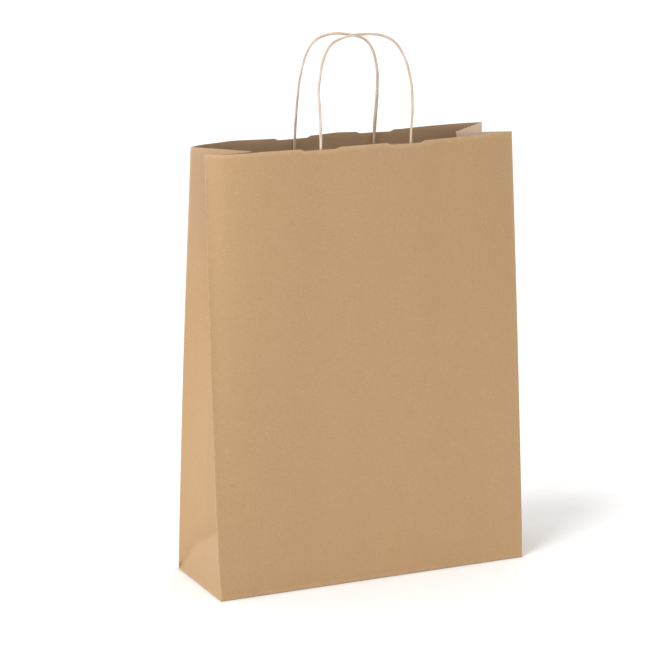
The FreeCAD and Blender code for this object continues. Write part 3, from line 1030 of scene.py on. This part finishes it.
@dataclass(frozen=True)
class Finishes:
    """Every material on the bag."""

    kraft: bpy.types.Material
    patch: bpy.types.Material
    cord: bpy.types.Material

    @classmethod
    def build(cls) -> "Finishes":
        """Builds the three finishes around their shared effects.

        Returns:
            The finishes.
        """
        groups = Groups.build()
        kraft = PaperFinish(
            "kraft_paper", (0.415, 0.259, 0.128), (0.290, 0.170, 0.085), (0.700, 0.515, 0.335)
        )
        patch = PaperFinish(
            "patch_paper", (0.430, 0.272, 0.142), (0.270, 0.160, 0.080), (0.600, 0.430, 0.270),
            cloud_scale=14.0, wear_and_highlight=0.50,
        )
        cord = CordFinish(
            "twisted_paper_cord", (0.610, 0.462, 0.335), (0.420, 0.302, 0.205), (0.700, 0.570, 0.455)
        )
        return cls(kraft.build(groups), patch.build(groups), cord.build(groups))


# ---------------------------------------------------------------- handles
@dataclass(frozen=True)
class Handle:
    """One twisted cord, glued at both ends inside its wall and standing up in a loop between."""

    form: BagForm
    wall: Wall
    route: tuple[tuple[float, float], ...]
    lean: float
    girth: EdgeCurve
    end_level: float = 0.3694
    curve_steps: int = 24
    curve_order: int = 3
    ring_points: int = 24
    ring_gap: float = 0.7 * MM
    strands: int = 2
    lay_length: float = 44.0 * MM
    groove_depth: float = 0.10
    groove_sharpness: float = 2.2
    bend_below: float = 3.0 * MM
    bend_above: float = 8.0 * MM

    @property
    def inset(self) -> float:
        """From the wall's outer face in to the middle of the glued cord."""
        return 2.0 * (self.form.paper + self.form.glue_gap) + self.form.cord_diameter / 2.0

    def glued_y(self, across: float, height: float) -> float:
        """Where the cord's middle is beside its wall."""
        face = self.form.wall_y(self.wall, np.array(across), np.array(height))
        return float(face) - self.wall.out * self.inset

    def control_points(self) -> list[Vector]:
        """The route from one cut end over the loop to the other.

        Returns:
            The control points of its spline.
        """
        level = self.form.notch_level
        left, right = self.route[0][0], self.route[-1][0]
        first_y, last_y = (self.glued_y(x, level) for x in (left, right))
        points = [Vector((left, self.glued_y(left, self.end_level), self.end_level))]
        for across, rise in self.route:
            share = (across - left) / (right - left)
            y = first_y + (last_y - first_y) * share - self.wall.out * self.lean * rise
            points.append(Vector((across, y, level + rise)))
        points.append(Vector((right, self.glued_y(right, self.end_level), self.end_level)))
        return points

    def centreline(self) -> np.ndarray:
        """The middle of the cord, along the route's smooth spline.

        Returns:
            Evenly spaced points, one row each.
        """
        curve = bpy.data.curves.new(f"{self.wall.value}_cord_line", "CURVE")
        curve.dimensions = "3D"
        curve.resolution_u = self.curve_steps
        control = self.control_points()
        spline = curve.splines.new("NURBS")
        spline.points.add(len(control) - 1)
        for knot, point in zip(spline.points, control):
            knot.co = (*point, 1.0)
        spline.order_u = self.curve_order
        spline.use_endpoint_u = True
        holder = bpy.data.objects.new(curve.name, curve)
        line = bpy.data.meshes.new_from_object(holder)
        points = np.array([v.co for v in line.vertices])
        bpy.data.objects.remove(holder)
        bpy.data.meshes.remove(line)
        gone = np.concatenate(([0.0], np.cumsum(np.linalg.norm(np.diff(points, axis=0), axis=1))))
        places = np.linspace(0.0, gone[-1], round(gone[-1] / self.ring_gap) + 1)
        return np.stack([np.interp(places, gone, points[:, axis]) for axis in range(3)], axis=-1)

    def build(self, finishes: Finishes) -> bpy.types.Object:
        """Args:
            finishes: the bag's materials.

        Returns:
            The cord.
        """
        line = self.centreline()
        along = np.gradient(line, axis=0)
        along /= np.linalg.norm(along, axis=1, keepdims=True)
        gone = np.arange(len(line)) * self.ring_gap
        side = Vector((0.0, 1.0, 0.0))
        rings, grooves = [], []
        around = np.linspace(0.0, 2.0 * np.pi, self.ring_points, endpoint=False)
        for centre, way, place in zip(line, along, gone):
            heading = Vector(way)
            side = (side - heading * side.dot(heading)).normalized()
            other = heading.cross(side)
            turned = around - 2.0 * np.pi * place / self.lay_length
            groove = (1.0 - np.abs(np.sin(self.strands * turned / 2.0))) ** self.groove_sharpness
            wide = self.girth.at(np.array(place / gone[-1]))
            radius = self.form.cord_diameter / 2.0 * wide * (1.0 - self.groove_depth * groove)
            plan = np.outer(np.cos(around) * radius, side) + np.outer(np.sin(around) * radius, other)
            rings.append(centre + plan)
            grooves.append(groove)
        piece = self.skin(np.array(rings), np.array(grooves))
        dress(piece, finishes.cord, Slot.CORD)
        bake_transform(piece)
        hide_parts(f"{self.wall.value}_cord_ends", f"{self.wall.value}_cord_loop")
        return piece

    def skin(self, rings: np.ndarray, grooves: np.ndarray) -> bpy.types.Object:
        """A closed tube over the rings, with the depth of its grooves kept on its points.

        Args:
            rings: points, rings by places round each by three.
            grooves: 0 to 1 at each point, how deep in a groove it is.

        Returns:
            The new object.
        """
        name = f"{self.wall.value}_handle_cord"
        count, sides = rings.shape[:2]
        number = np.arange(count * sides).reshape(count, sides)
        following = np.roll(number, -1, axis=1)
        quads = np.stack((number[:-1], following[:-1], following[1:], number[1:]), axis=-1)
        faces = quads.reshape(-1, 4).tolist() + [number[0, ::-1].tolist(), number[-1].tolist()]
        mesh = bpy.data.meshes.new(name)
        mesh.from_pydata(rings.reshape(-1, 3).tolist(), [], faces)
        mesh.validate()
        depth = mesh.attributes.new("groove", "FLOAT", "POINT")
        depth.data.foreach_set("value", grooves.reshape(-1).astype(np.float32))
        return shaded(name, mesh)


# ---------------------------------------------------------------- paper pieces
@dataclass(frozen=True)
class WallSheets:
    """One wide wall: its panel and the two patch strips that hold its cord."""

    form: BagForm
    wall: Wall
    gussets: dict[Side, GussetForm]
    columns: int = 97
    rows: int = 84
    fold_steps: int = 5
    roll_steps: int = 4
    strip_columns: int = 200
    strip_rows: int = 22
    hump_reach: float = 2.6 * MM
    hump_power: int = 4
    wear_and_highlight: Wear = Wear()

    def build(self, finishes: Finishes) -> None:
        """Builds the panel and both strips and sets them on their wall."""
        self.panel(finishes)
        self.strips(finishes)

    def panel(self, finishes: Finishes) -> None:
        """The panel, from its rolled bottom fold to its notched top edge.

        Args:
            finishes: the bag's materials.
        """
        form = self.form
        half = form.half_width - form.top_inset
        edge = half - 2.0 * form.fold_reach
        even = np.linspace(-edge, edge, self.columns)
        across = np.unique(np.round(np.concatenate((even, form.notch_corners(self.wall))), 6))
        angle = np.linspace(0.0, np.pi / 2.0, self.roll_steps + 1)[:-1]
        share = np.linspace(form.roll / form.mouth, 1.0, self.rows)
        height = np.concatenate((form.roll * (1.0 - np.cos(angle)), share * form.mouth))
        tuck = np.concatenate((form.roll * (1.0 - np.sin(angle)), np.zeros(self.rows)))
        flat = self.flat_part(across / half, across, height)
        turn = np.linspace(0.5, 0.0, self.fold_steps)
        left = self.gussets[Side.LEFT].fold_round(self.wall, height, turn)
        right = self.gussets[Side.RIGHT].fold_round(self.wall, height, turn[::-1])
        face = np.concatenate((left, flat, right), axis=1)
        face[..., 1] -= self.wall.out * tuck[:, None]
        from_left = face[..., 0] - face[:, :1, 0]
        from_right = face[:, -1:, 0] - face[..., 0]
        # Rubbing along the folds, the bottom and the mouth; on the folds and the bottom it is partly a
        # painted highlight.
        wear_and_highlight = self.wear_and_highlight.at_fold(np.minimum(from_left, from_right), height / form.mouth)
        wear_and_highlight = np.maximum(wear_and_highlight, self.wear_and_highlight.at_floor(face[..., 2]))
        wear_and_highlight = np.maximum(wear_and_highlight, self.wear_and_highlight.at_mouth(face[-1:, :, 2] - face[..., 2]))
        piece = thick_sheet(
            f"{self.wall.value}_panel_sheet", face, form.paper, (0, self.wall.out, 0), wear_and_highlight
        )
        dress(piece, finishes.kraft, Slot.KRAFT)
        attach(piece, self.wall.body)
        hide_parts(f"{self.wall.value}_panel")

    def flat_part(self, share: np.ndarray, across: np.ndarray, height: np.ndarray) -> np.ndarray:
        """The panel between its rounded folds.

        Args:
            share: each column's place, from -1 at the left fold to 1 at the right.
            across: each column's X at the top edge, where the notches are cut.
            height: each row's height where there is no notch.

        Returns:
            Points, rows by columns by three.
        """
        form = self.form
        left = form.fold_x(self.wall, Side.LEFT, height)[:, None]
        right = form.fold_x(self.wall, Side.RIGHT, height)[:, None]
        x = np.where(share < 0, -left * share, right * share)
        rise = (height / form.mouth)[:, None]
        lift = form.crests[self.wall].at(across) - form.cut(self.wall, across)
        z = height[:, None] + lift[None, :] * rise**TOP_POWER
        return np.stack((x, form.wall_y(self.wall, x, z), z), axis=-1)

    def strips(self, finishes: Finishes) -> None:
        """The backing strip against the panel and the cover strip that rises over the cord.

        Args:
            finishes: the bag's materials.
        """
        layer = self.form.paper + self.form.glue_gap
        for part, depth, rides_over in (("backing", layer, False), ("cover", 2.0 * layer, True)):
            node = f"{self.wall.value}_patch_{part}"
            low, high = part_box(node)
            across = np.linspace(low.x, high.x, self.strip_columns)
            height = np.linspace(low.z, high.z, self.strip_rows)
            x, z = np.meshgrid(across, height)
            inset = np.full_like(x, depth)
            if rides_over:
                clear = self.form.cord_diameter + 2.0 * self.form.glue_gap
                for leg in self.form.legs[self.wall]:
                    inset += clear / (1.0 + ((x - leg) / self.hump_reach) ** self.hump_power)
            y = self.form.wall_y(self.wall, x, z) - self.wall.out * inset
            rim = np.minimum(np.minimum(x - low.x, high.x - x), np.minimum(z - low.z, high.z - z))
            piece = thick_sheet(
                f"{node}_sheet", np.stack((x, y, z), axis=-1), self.form.paper,
                (0, self.wall.out, 0), self.wear_and_highlight.at_cut(rim),
            )
            dress(piece, finishes.patch, Slot.PATCH)
            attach(piece, self.wall.body)
            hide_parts(node)


@dataclass(frozen=True)
class GussetSheets:
    """One narrow side: its two halves and its upright foot."""

    gusset: GussetForm
    columns: int = 30
    rows: int = 62
    low_rows: int = 44
    low_share: float = 0.16
    fold_steps: int = 5
    first_step: float = 1.4
    crowding: float = 1.25
    leaning: float = 0.2
    foot_columns: int = 24
    foot_rows: int = 16
    foot_start: float = 0.012
    bend_start: float = 1.5 * MM
    bend_share: float = 0.95
    wear_and_highlight: Wear = Wear()

    def build(self, finishes: Finishes) -> None:
        """Builds both halves and the foot.

        Args:
            finishes: the bag's materials.
        """
        for wall in Wall:
            self.half(wall, finishes)
        self.foot(finishes)

    def half(self, wall: Wall, finishes: Finishes) -> None:
        """The half beside one wall, from the rounded fold to the crease.

        Args:
            wall: the wall.
            finishes: the bag's materials.
        """
        gusset, form = self.gusset, self.gusset.form
        up = np.concatenate((
            np.linspace(0.0, self.low_share, self.low_rows)[:-1],
            np.linspace(self.low_share, 1.0, self.rows),
        ))
        start = form.fold_reach / form.half_depth * self.first_step
        across = 1.0 - (1.0 - np.linspace(start, 1.0, self.columns)) ** self.crowding
        grid_across, grid_up = np.meshgrid(across, up)
        body_part = gusset.face(wall, grid_across, grid_up)
        turn = np.linspace(0.5, 1.0, self.fold_steps)
        round_part = gusset.fold_round(wall, up * form.mouth, turn)
        face = np.concatenate((round_part, body_part), axis=1)
        from_fold = np.concatenate((np.zeros(self.fold_steps), across * form.half_depth))
        # Rubbing along the fold, the crease and the mouth; on the fold and the crease it is partly a
        # painted highlight.
        wear_and_highlight = self.wear_and_highlight.at_fold(from_fold, up)
        crease = self.wear_and_highlight.at_crease((1.0 - across) * form.half_depth, up)
        wear_and_highlight[:, self.fold_steps:] = np.maximum(wear_and_highlight[:, self.fold_steps:], crease)
        wear_and_highlight = np.maximum(wear_and_highlight, self.wear_and_highlight.at_mouth((1.0 - up[:, None]) * form.mouth))
        name = f"{gusset.side.value}_gusset_{wall.value}"
        # Painted light near the top, and the foot crease's painted shade and light.
        tone = gusset.tone(face[..., 1], face[..., 2])
        outward = (gusset.side.out, wall.out * self.leaning, 0)
        piece = thick_sheet(f"{name}_sheet", face, form.paper, outward, wear_and_highlight, tone)
        dress(piece, finishes.kraft, Slot.KRAFT)
        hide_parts(name)
        start_point, end_point = self.bending_run(wall)
        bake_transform(piece)

    def bending_run(self, wall: Wall) -> tuple[Vector, Vector]:
        """Two points on a run across a half, square to its fold: one just in from the fold and one near
        the crease.

        Args:
            wall: the wall.

        Returns:
            The run's two ends.
        """
        form = self.gusset.form
        top_x = form.fold_x(wall, self.gusset.side, np.array(form.mouth))
        top_y = float(form.wall_y(wall, top_x, np.array(form.mouth)))
        fold_way = Vector((0.0, top_y - wall.out * form.half_depth, form.mouth)).normalized()
        inward = Vector((0.0, -wall.out * fold_way.z, wall.out * fold_way.y))
        fold_foot = Vector((0.0, wall.out * form.half_depth, 0.0))
        crease_y, crease_z = self.gusset.crease_top[1:]
        crease_at = (Vector((0.0, crease_y, crease_z)) - fold_foot).dot(inward)
        begin = fold_foot + inward * self.bend_start
        return begin, fold_foot + inward * crease_at * self.bend_share

    def foot(self, finishes: Finishes) -> None:
        """The upright triangle between the bottom fold and the two slanted creases.

        Args:
            finishes: the bag's materials.
        """
        gusset, form = self.gusset, self.gusset.form
        across = np.linspace(self.foot_start, 1.0, self.foot_columns)
        edges = {wall: gusset.face(wall, across, np.zeros_like(across)) for wall in Wall}
        edge = np.concatenate((edges[Wall.FRONT], edges[Wall.BACK][-2::-1]))
        share = np.linspace(0.0, 1.0, self.foot_rows)[:, None]
        z = edge[None, :, 2] * share
        y = np.repeat(edge[None, :, 1], len(share), axis=0)
        bottom = [form.fold_x(wall, gusset.side, np.array(0.0)) for wall in Wall]
        foot_x = np.interp(edge[:, 1], (-form.half_depth, form.half_depth), bottom)
        x = foot_x + (edge[None, :, 0] - foot_x) * share
        # Rubbing along the bottom, partly a painted highlight.
        wear_and_highlight = self.wear_and_highlight.at_floor(z)
        name = f"{gusset.side.value}_gusset_foot"
        face = np.stack((x, y, z), axis=-1)
        # The foot crease's painted shade and light.
        tone = gusset.tone(y, z)
        piece = thick_sheet(f"{name}_sheet", face, form.paper, (gusset.side.out, 0, 0), wear_and_highlight, tone)
        dress(piece, finishes.kraft, Slot.KRAFT)
        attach(piece, "base")
        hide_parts(name)


@dataclass(frozen=True)
class GluedLap:
    """The lengthwise lap that closes the tube, inside the back wall along its left fold."""

    form: BagForm
    node: str = "tube_glue_lap"
    columns: int = 22
    rows: int = 84
    cut_wear: float = 0.5
    wear_and_highlight: Wear = Wear()

    def build(self, finishes: Finishes) -> None:
        """Lays the lap against the inside of the back wall.

        Args:
            finishes: the bag's materials.
        """
        low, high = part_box(self.node)
        across = np.linspace(low.x, high.x, self.columns)
        x, z = np.meshgrid(across, np.linspace(low.z, high.z, self.rows))
        y = self.form.wall_y(Wall.BACK, x, z) - (self.form.paper + self.form.glue_gap)
        piece = thick_sheet(
            f"{self.node}_sheet", np.stack((x, y, z), axis=-1), self.form.paper,
            (0, Wall.BACK.out, 0), self.wear_and_highlight.at_cut(high.x - x, self.cut_wear),
        )
        dress(piece, finishes.kraft, Slot.KRAFT)
        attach(piece, Wall.BACK.body)
        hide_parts(self.node)


@dataclass(frozen=True)
class BlockBottom:
    """The glued flaps and tucks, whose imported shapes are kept."""

    nodes: tuple[str, ...] = (
        "bottom_back_flap", "bottom_front_flap", "bottom_left_tuck", "bottom_right_tuck",
    )

    def dress(self, finishes: Finishes) -> None:
        """Gives each layer of the bottom its paper.

        Args:
            finishes: the bag's materials.
        """
        for node in self.nodes:
            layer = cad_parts[node]
            if not layer.material_slots:
                layer.data.materials.append(finishes.kraft)
            for holder in layer.material_slots:
                holder.material = finishes.kraft
            LOG.info("%s: kept as packed", node)


# ---------------------------------------------------------------- the studio
@dataclass(frozen=True)
class Studio:
    """The camera, a pale floor and soft light from the left."""

    turn: float = 0.4359
    tilt: float = 0.225
    lens: float = 140.16
    distance: float = 2.47043
    aim_height: float = 0.21
    aim_right: float = -0.020909
    aim_up: float = 0.022995
    sensor: float = 36.0
    near_clip: float = 0.05
    world_strength: float = 0.90
    lamp_aim: tuple[float, float, float] = (0.0, 0.0, 0.2)
    sun_place: tuple[float, float, float] = (-1.05, -0.47, 2.30)
    sun_strength: float = 1.05
    sun_spread: float = 14.0
    side_place: tuple[float, float, float] = (-1.45, -0.36, 0.34)
    side_power: float = 6.15
    side_size: float = 0.9
    side_tint: tuple[float, float, float] = (1.0, 1.0, 1.06)
    floor_reach: float = 30.0
    floor_drop: float = 0.2 * MM
    floor_tones: tuple[float, float] = (0.93, 0.95)
    floor_mottle: float = 40.0
    footing_shade: float = 0.24
    footing_fade: float = 2.6 * MM

    def camera(self) -> None:
        """Sets the camera up, level and looking slightly down from the front left."""
        back = Vector((
            -math.sin(self.turn) * math.cos(self.tilt),
            -math.cos(self.turn) * math.cos(self.tilt),
            math.sin(self.tilt),
        ))
        right = Vector((math.cos(self.turn), -math.sin(self.turn), 0.0))
        up = back.cross(right)
        aim = Vector((0.0, 0.0, self.aim_height)) + right * self.aim_right + up * self.aim_up
        place = aim + back * self.distance
        data = bpy.data.cameras.new("camera")
        data.lens = self.lens
        data.sensor_width = self.sensor
        data.clip_start = self.near_clip
        viewer = bpy.data.objects.new("camera", data)
        axes = Matrix((right, up, back)).transposed().to_4x4()
        viewer.matrix_world = Matrix.Translation(place) @ axes
        bpy.context.scene.collection.objects.link(viewer)
        bpy.context.scene.camera = viewer

    def lamp(
        self, name: str, kind: str, place: tuple[float, float, float], energy: float
    ) -> bpy.types.Light:
        """Adds a lamp that points at the bag.

        Args:
            name: the lamp's name.
            kind: its type.
            place: where it stands.
            energy: how bright it is.

        Returns:
            The lamp's data.
        """
        data = bpy.data.lights.new(name, kind)
        data.energy = energy
        holder = bpy.data.objects.new(name, data)
        holder.location = place
        holder.rotation_mode = "QUATERNION"
        way = Vector(self.lamp_aim) - Vector(place)
        holder.rotation_quaternion = way.to_track_quat("-Z", "Y")
        bpy.context.scene.collection.objects.link(holder)
        return data

    def light(self) -> None:
        """A bright even surround, a soft sun from the front left and a broad lamp on the left."""
        scene = bpy.context.scene
        scene.view_settings.view_transform = "Standard"
        world = bpy.data.worlds.new("studio")
        world.use_nodes = True
        backdrop = world.node_tree.nodes["Background"]
        backdrop.inputs["Color"].default_value = (1.0, 1.0, 1.0, 1.0)
        backdrop.inputs["Strength"].default_value = self.world_strength
        scene.world = world
        sun = self.lamp("sun", "SUN", self.sun_place, self.sun_strength)
        sun.angle = math.radians(self.sun_spread)
        side = self.lamp("side", "AREA", self.side_place, self.side_power)
        side.color = self.side_tint
        side.shape = "DISK"
        side.size = self.side_size

    def footing(self, board: Board, place: object, form: BagForm) -> bpy.types.NodeSocket:
        """The mask of the painted contact shadow: 1 where the bag stands, fading within millimetres
        around it.

        Args:
            board: the floor's node tree.
            place: the floor's coordinates.
            form: the bag's form.

        Returns:
            The mask.
        """
        axes = board.add("ShaderNodeSeparateXYZ")
        board.feed(axes.inputs[0], place)
        gaps = []
        for axis, half in ((0, form.half_width), (1, form.half_depth)):
            beyond = board.maths("SUBTRACT", board.maths("ABSOLUTE", axes.outputs[axis]), half)
            gaps.append(board.maths("POWER", board.maths("MAXIMUM", beyond, 0.0), 2.0))
        gap = board.maths("SQRT", board.maths("ADD", *gaps))
        return board.maths("EXPONENT", board.maths("DIVIDE", gap, -self.footing_fade))

    def floor(self, form: BagForm) -> None:
        """A plain pale floor that runs out of sight, with a painted contact shadow close to the bag.

        Args:
            form: the bag's form.
        """
        reach = self.floor_reach
        corners = ((-reach, -reach), (reach, -reach), (reach, reach), (-reach, reach))
        mesh = bpy.data.meshes.new("floor")
        mesh.from_pydata([(x, y, -self.floor_drop) for x, y in corners], [], [(0, 1, 2, 3)])
        ground = bpy.data.objects.new("floor", mesh)
        bpy.context.scene.collection.objects.link(ground)
        material, board, shader, place = new_material("pale_floor")
        faint = board.ramp(board.noise(place, self.floor_mottle, detail=2.0), low=0.2, high=0.8)
        tone = board.blend(faint, *(opaque((grey,) * 3) for grey in self.floor_tones))
        # Painted contact shadow around the bag's footprint.
        under = self.footing(board, place, form)
        shaded_tone = board.wash(under, self.footing_shade, tone, opaque((0.0, 0.0, 0.0)))
        board.feed(shader.inputs["Base Color"], shaded_tone)
        shader.inputs["Roughness"].default_value = 1.0
        shader.inputs["Specular IOR Level"].default_value = 0.0
        mesh.materials.append(material)


# Each point of a route is an X and a rise above the floors of the notches.
FRONT_ROUTE = (
    (-0.0520, 0.0009), (-0.0516, 0.0355), (-0.0531, 0.0570), (-0.0441, 0.0932), (-0.0230, 0.1034),
    (0.0145, 0.1033), (0.0331, 0.0904), (0.0429, 0.0615), (0.0438, 0.0330), (0.0397, 0.0009),
)
BACK_ROUTE = (
    (-0.0457, 0.0009), (-0.0450, 0.0330), (-0.0435, 0.0610), (-0.0355, 0.0906), (-0.0142, 0.1002),
    (0.0193, 0.0950), (0.0320, 0.0864), (0.0410, 0.0636), (0.0423, 0.0330), (0.0411, 0.0009),
)
# Each point of a girth is a share of the cord's length and a share of its nominal thickness.
FRONT_GIRTH = EdgeCurve((
    (0.0, 1.0), (0.12, 1.0), (0.17, 1.03), (0.30, 0.91), (0.42, 0.97), (0.62, 0.97), (0.76, 0.92),
    (0.86, 0.86), (0.91, 1.0), (1.0, 1.0),
))
BACK_GIRTH = EdgeCurve((
    (0.0, 1.0), (0.12, 1.0), (0.17, 0.95), (0.30, 0.83), (0.42, 0.95), (0.60, 1.03), (0.72, 1.14),
    (0.84, 1.34), (0.89, 1.0), (1.0, 1.0),
))


def main() -> None:
    """Builds the bag in order: camera, cords, walls, gussets, lap, bottom, studio."""
    logging.basicConfig(level=logging.INFO, format="%(message)s")
    studio = Studio()
    studio.camera()
    form = BagForm.from_frame()
    finishes = Finishes.build()
    Handle(form, Wall.FRONT, FRONT_ROUTE, lean=0.08, girth=FRONT_GIRTH).build(finishes)
    Handle(form, Wall.BACK, BACK_ROUTE, lean=0.13, girth=BACK_GIRTH).build(finishes)
    foot_crease = FootCrease(form.half_depth)
    # Both gussets get painted light: the left over its upper part, the right near its top.
    gussets = {
        Side.LEFT: GussetForm(
            form, Side.LEFT, foot_crease, crease_top=(-0.109, -0.012, 0.4155),
            painted_light=0.20, painted_light_from=0.55, sag={Wall.FRONT: 1.1 * MM},
        ),
        Side.RIGHT: GussetForm(
            form, Side.RIGHT, foot_crease, crease_top=(0.1157, 0.0096, 0.4165), painted_light=0.62
        ),
    }
    for wall in Wall:
        WallSheets(form, wall, gussets).build(finishes)
    for side in Side:
        GussetSheets(gussets[side]).build(finishes)
    GluedLap(form).build(finishes)
    BlockBottom().dress(finishes)
    studio.light()
    studio.floor(form)


if __name__ == "__main__":
    main()
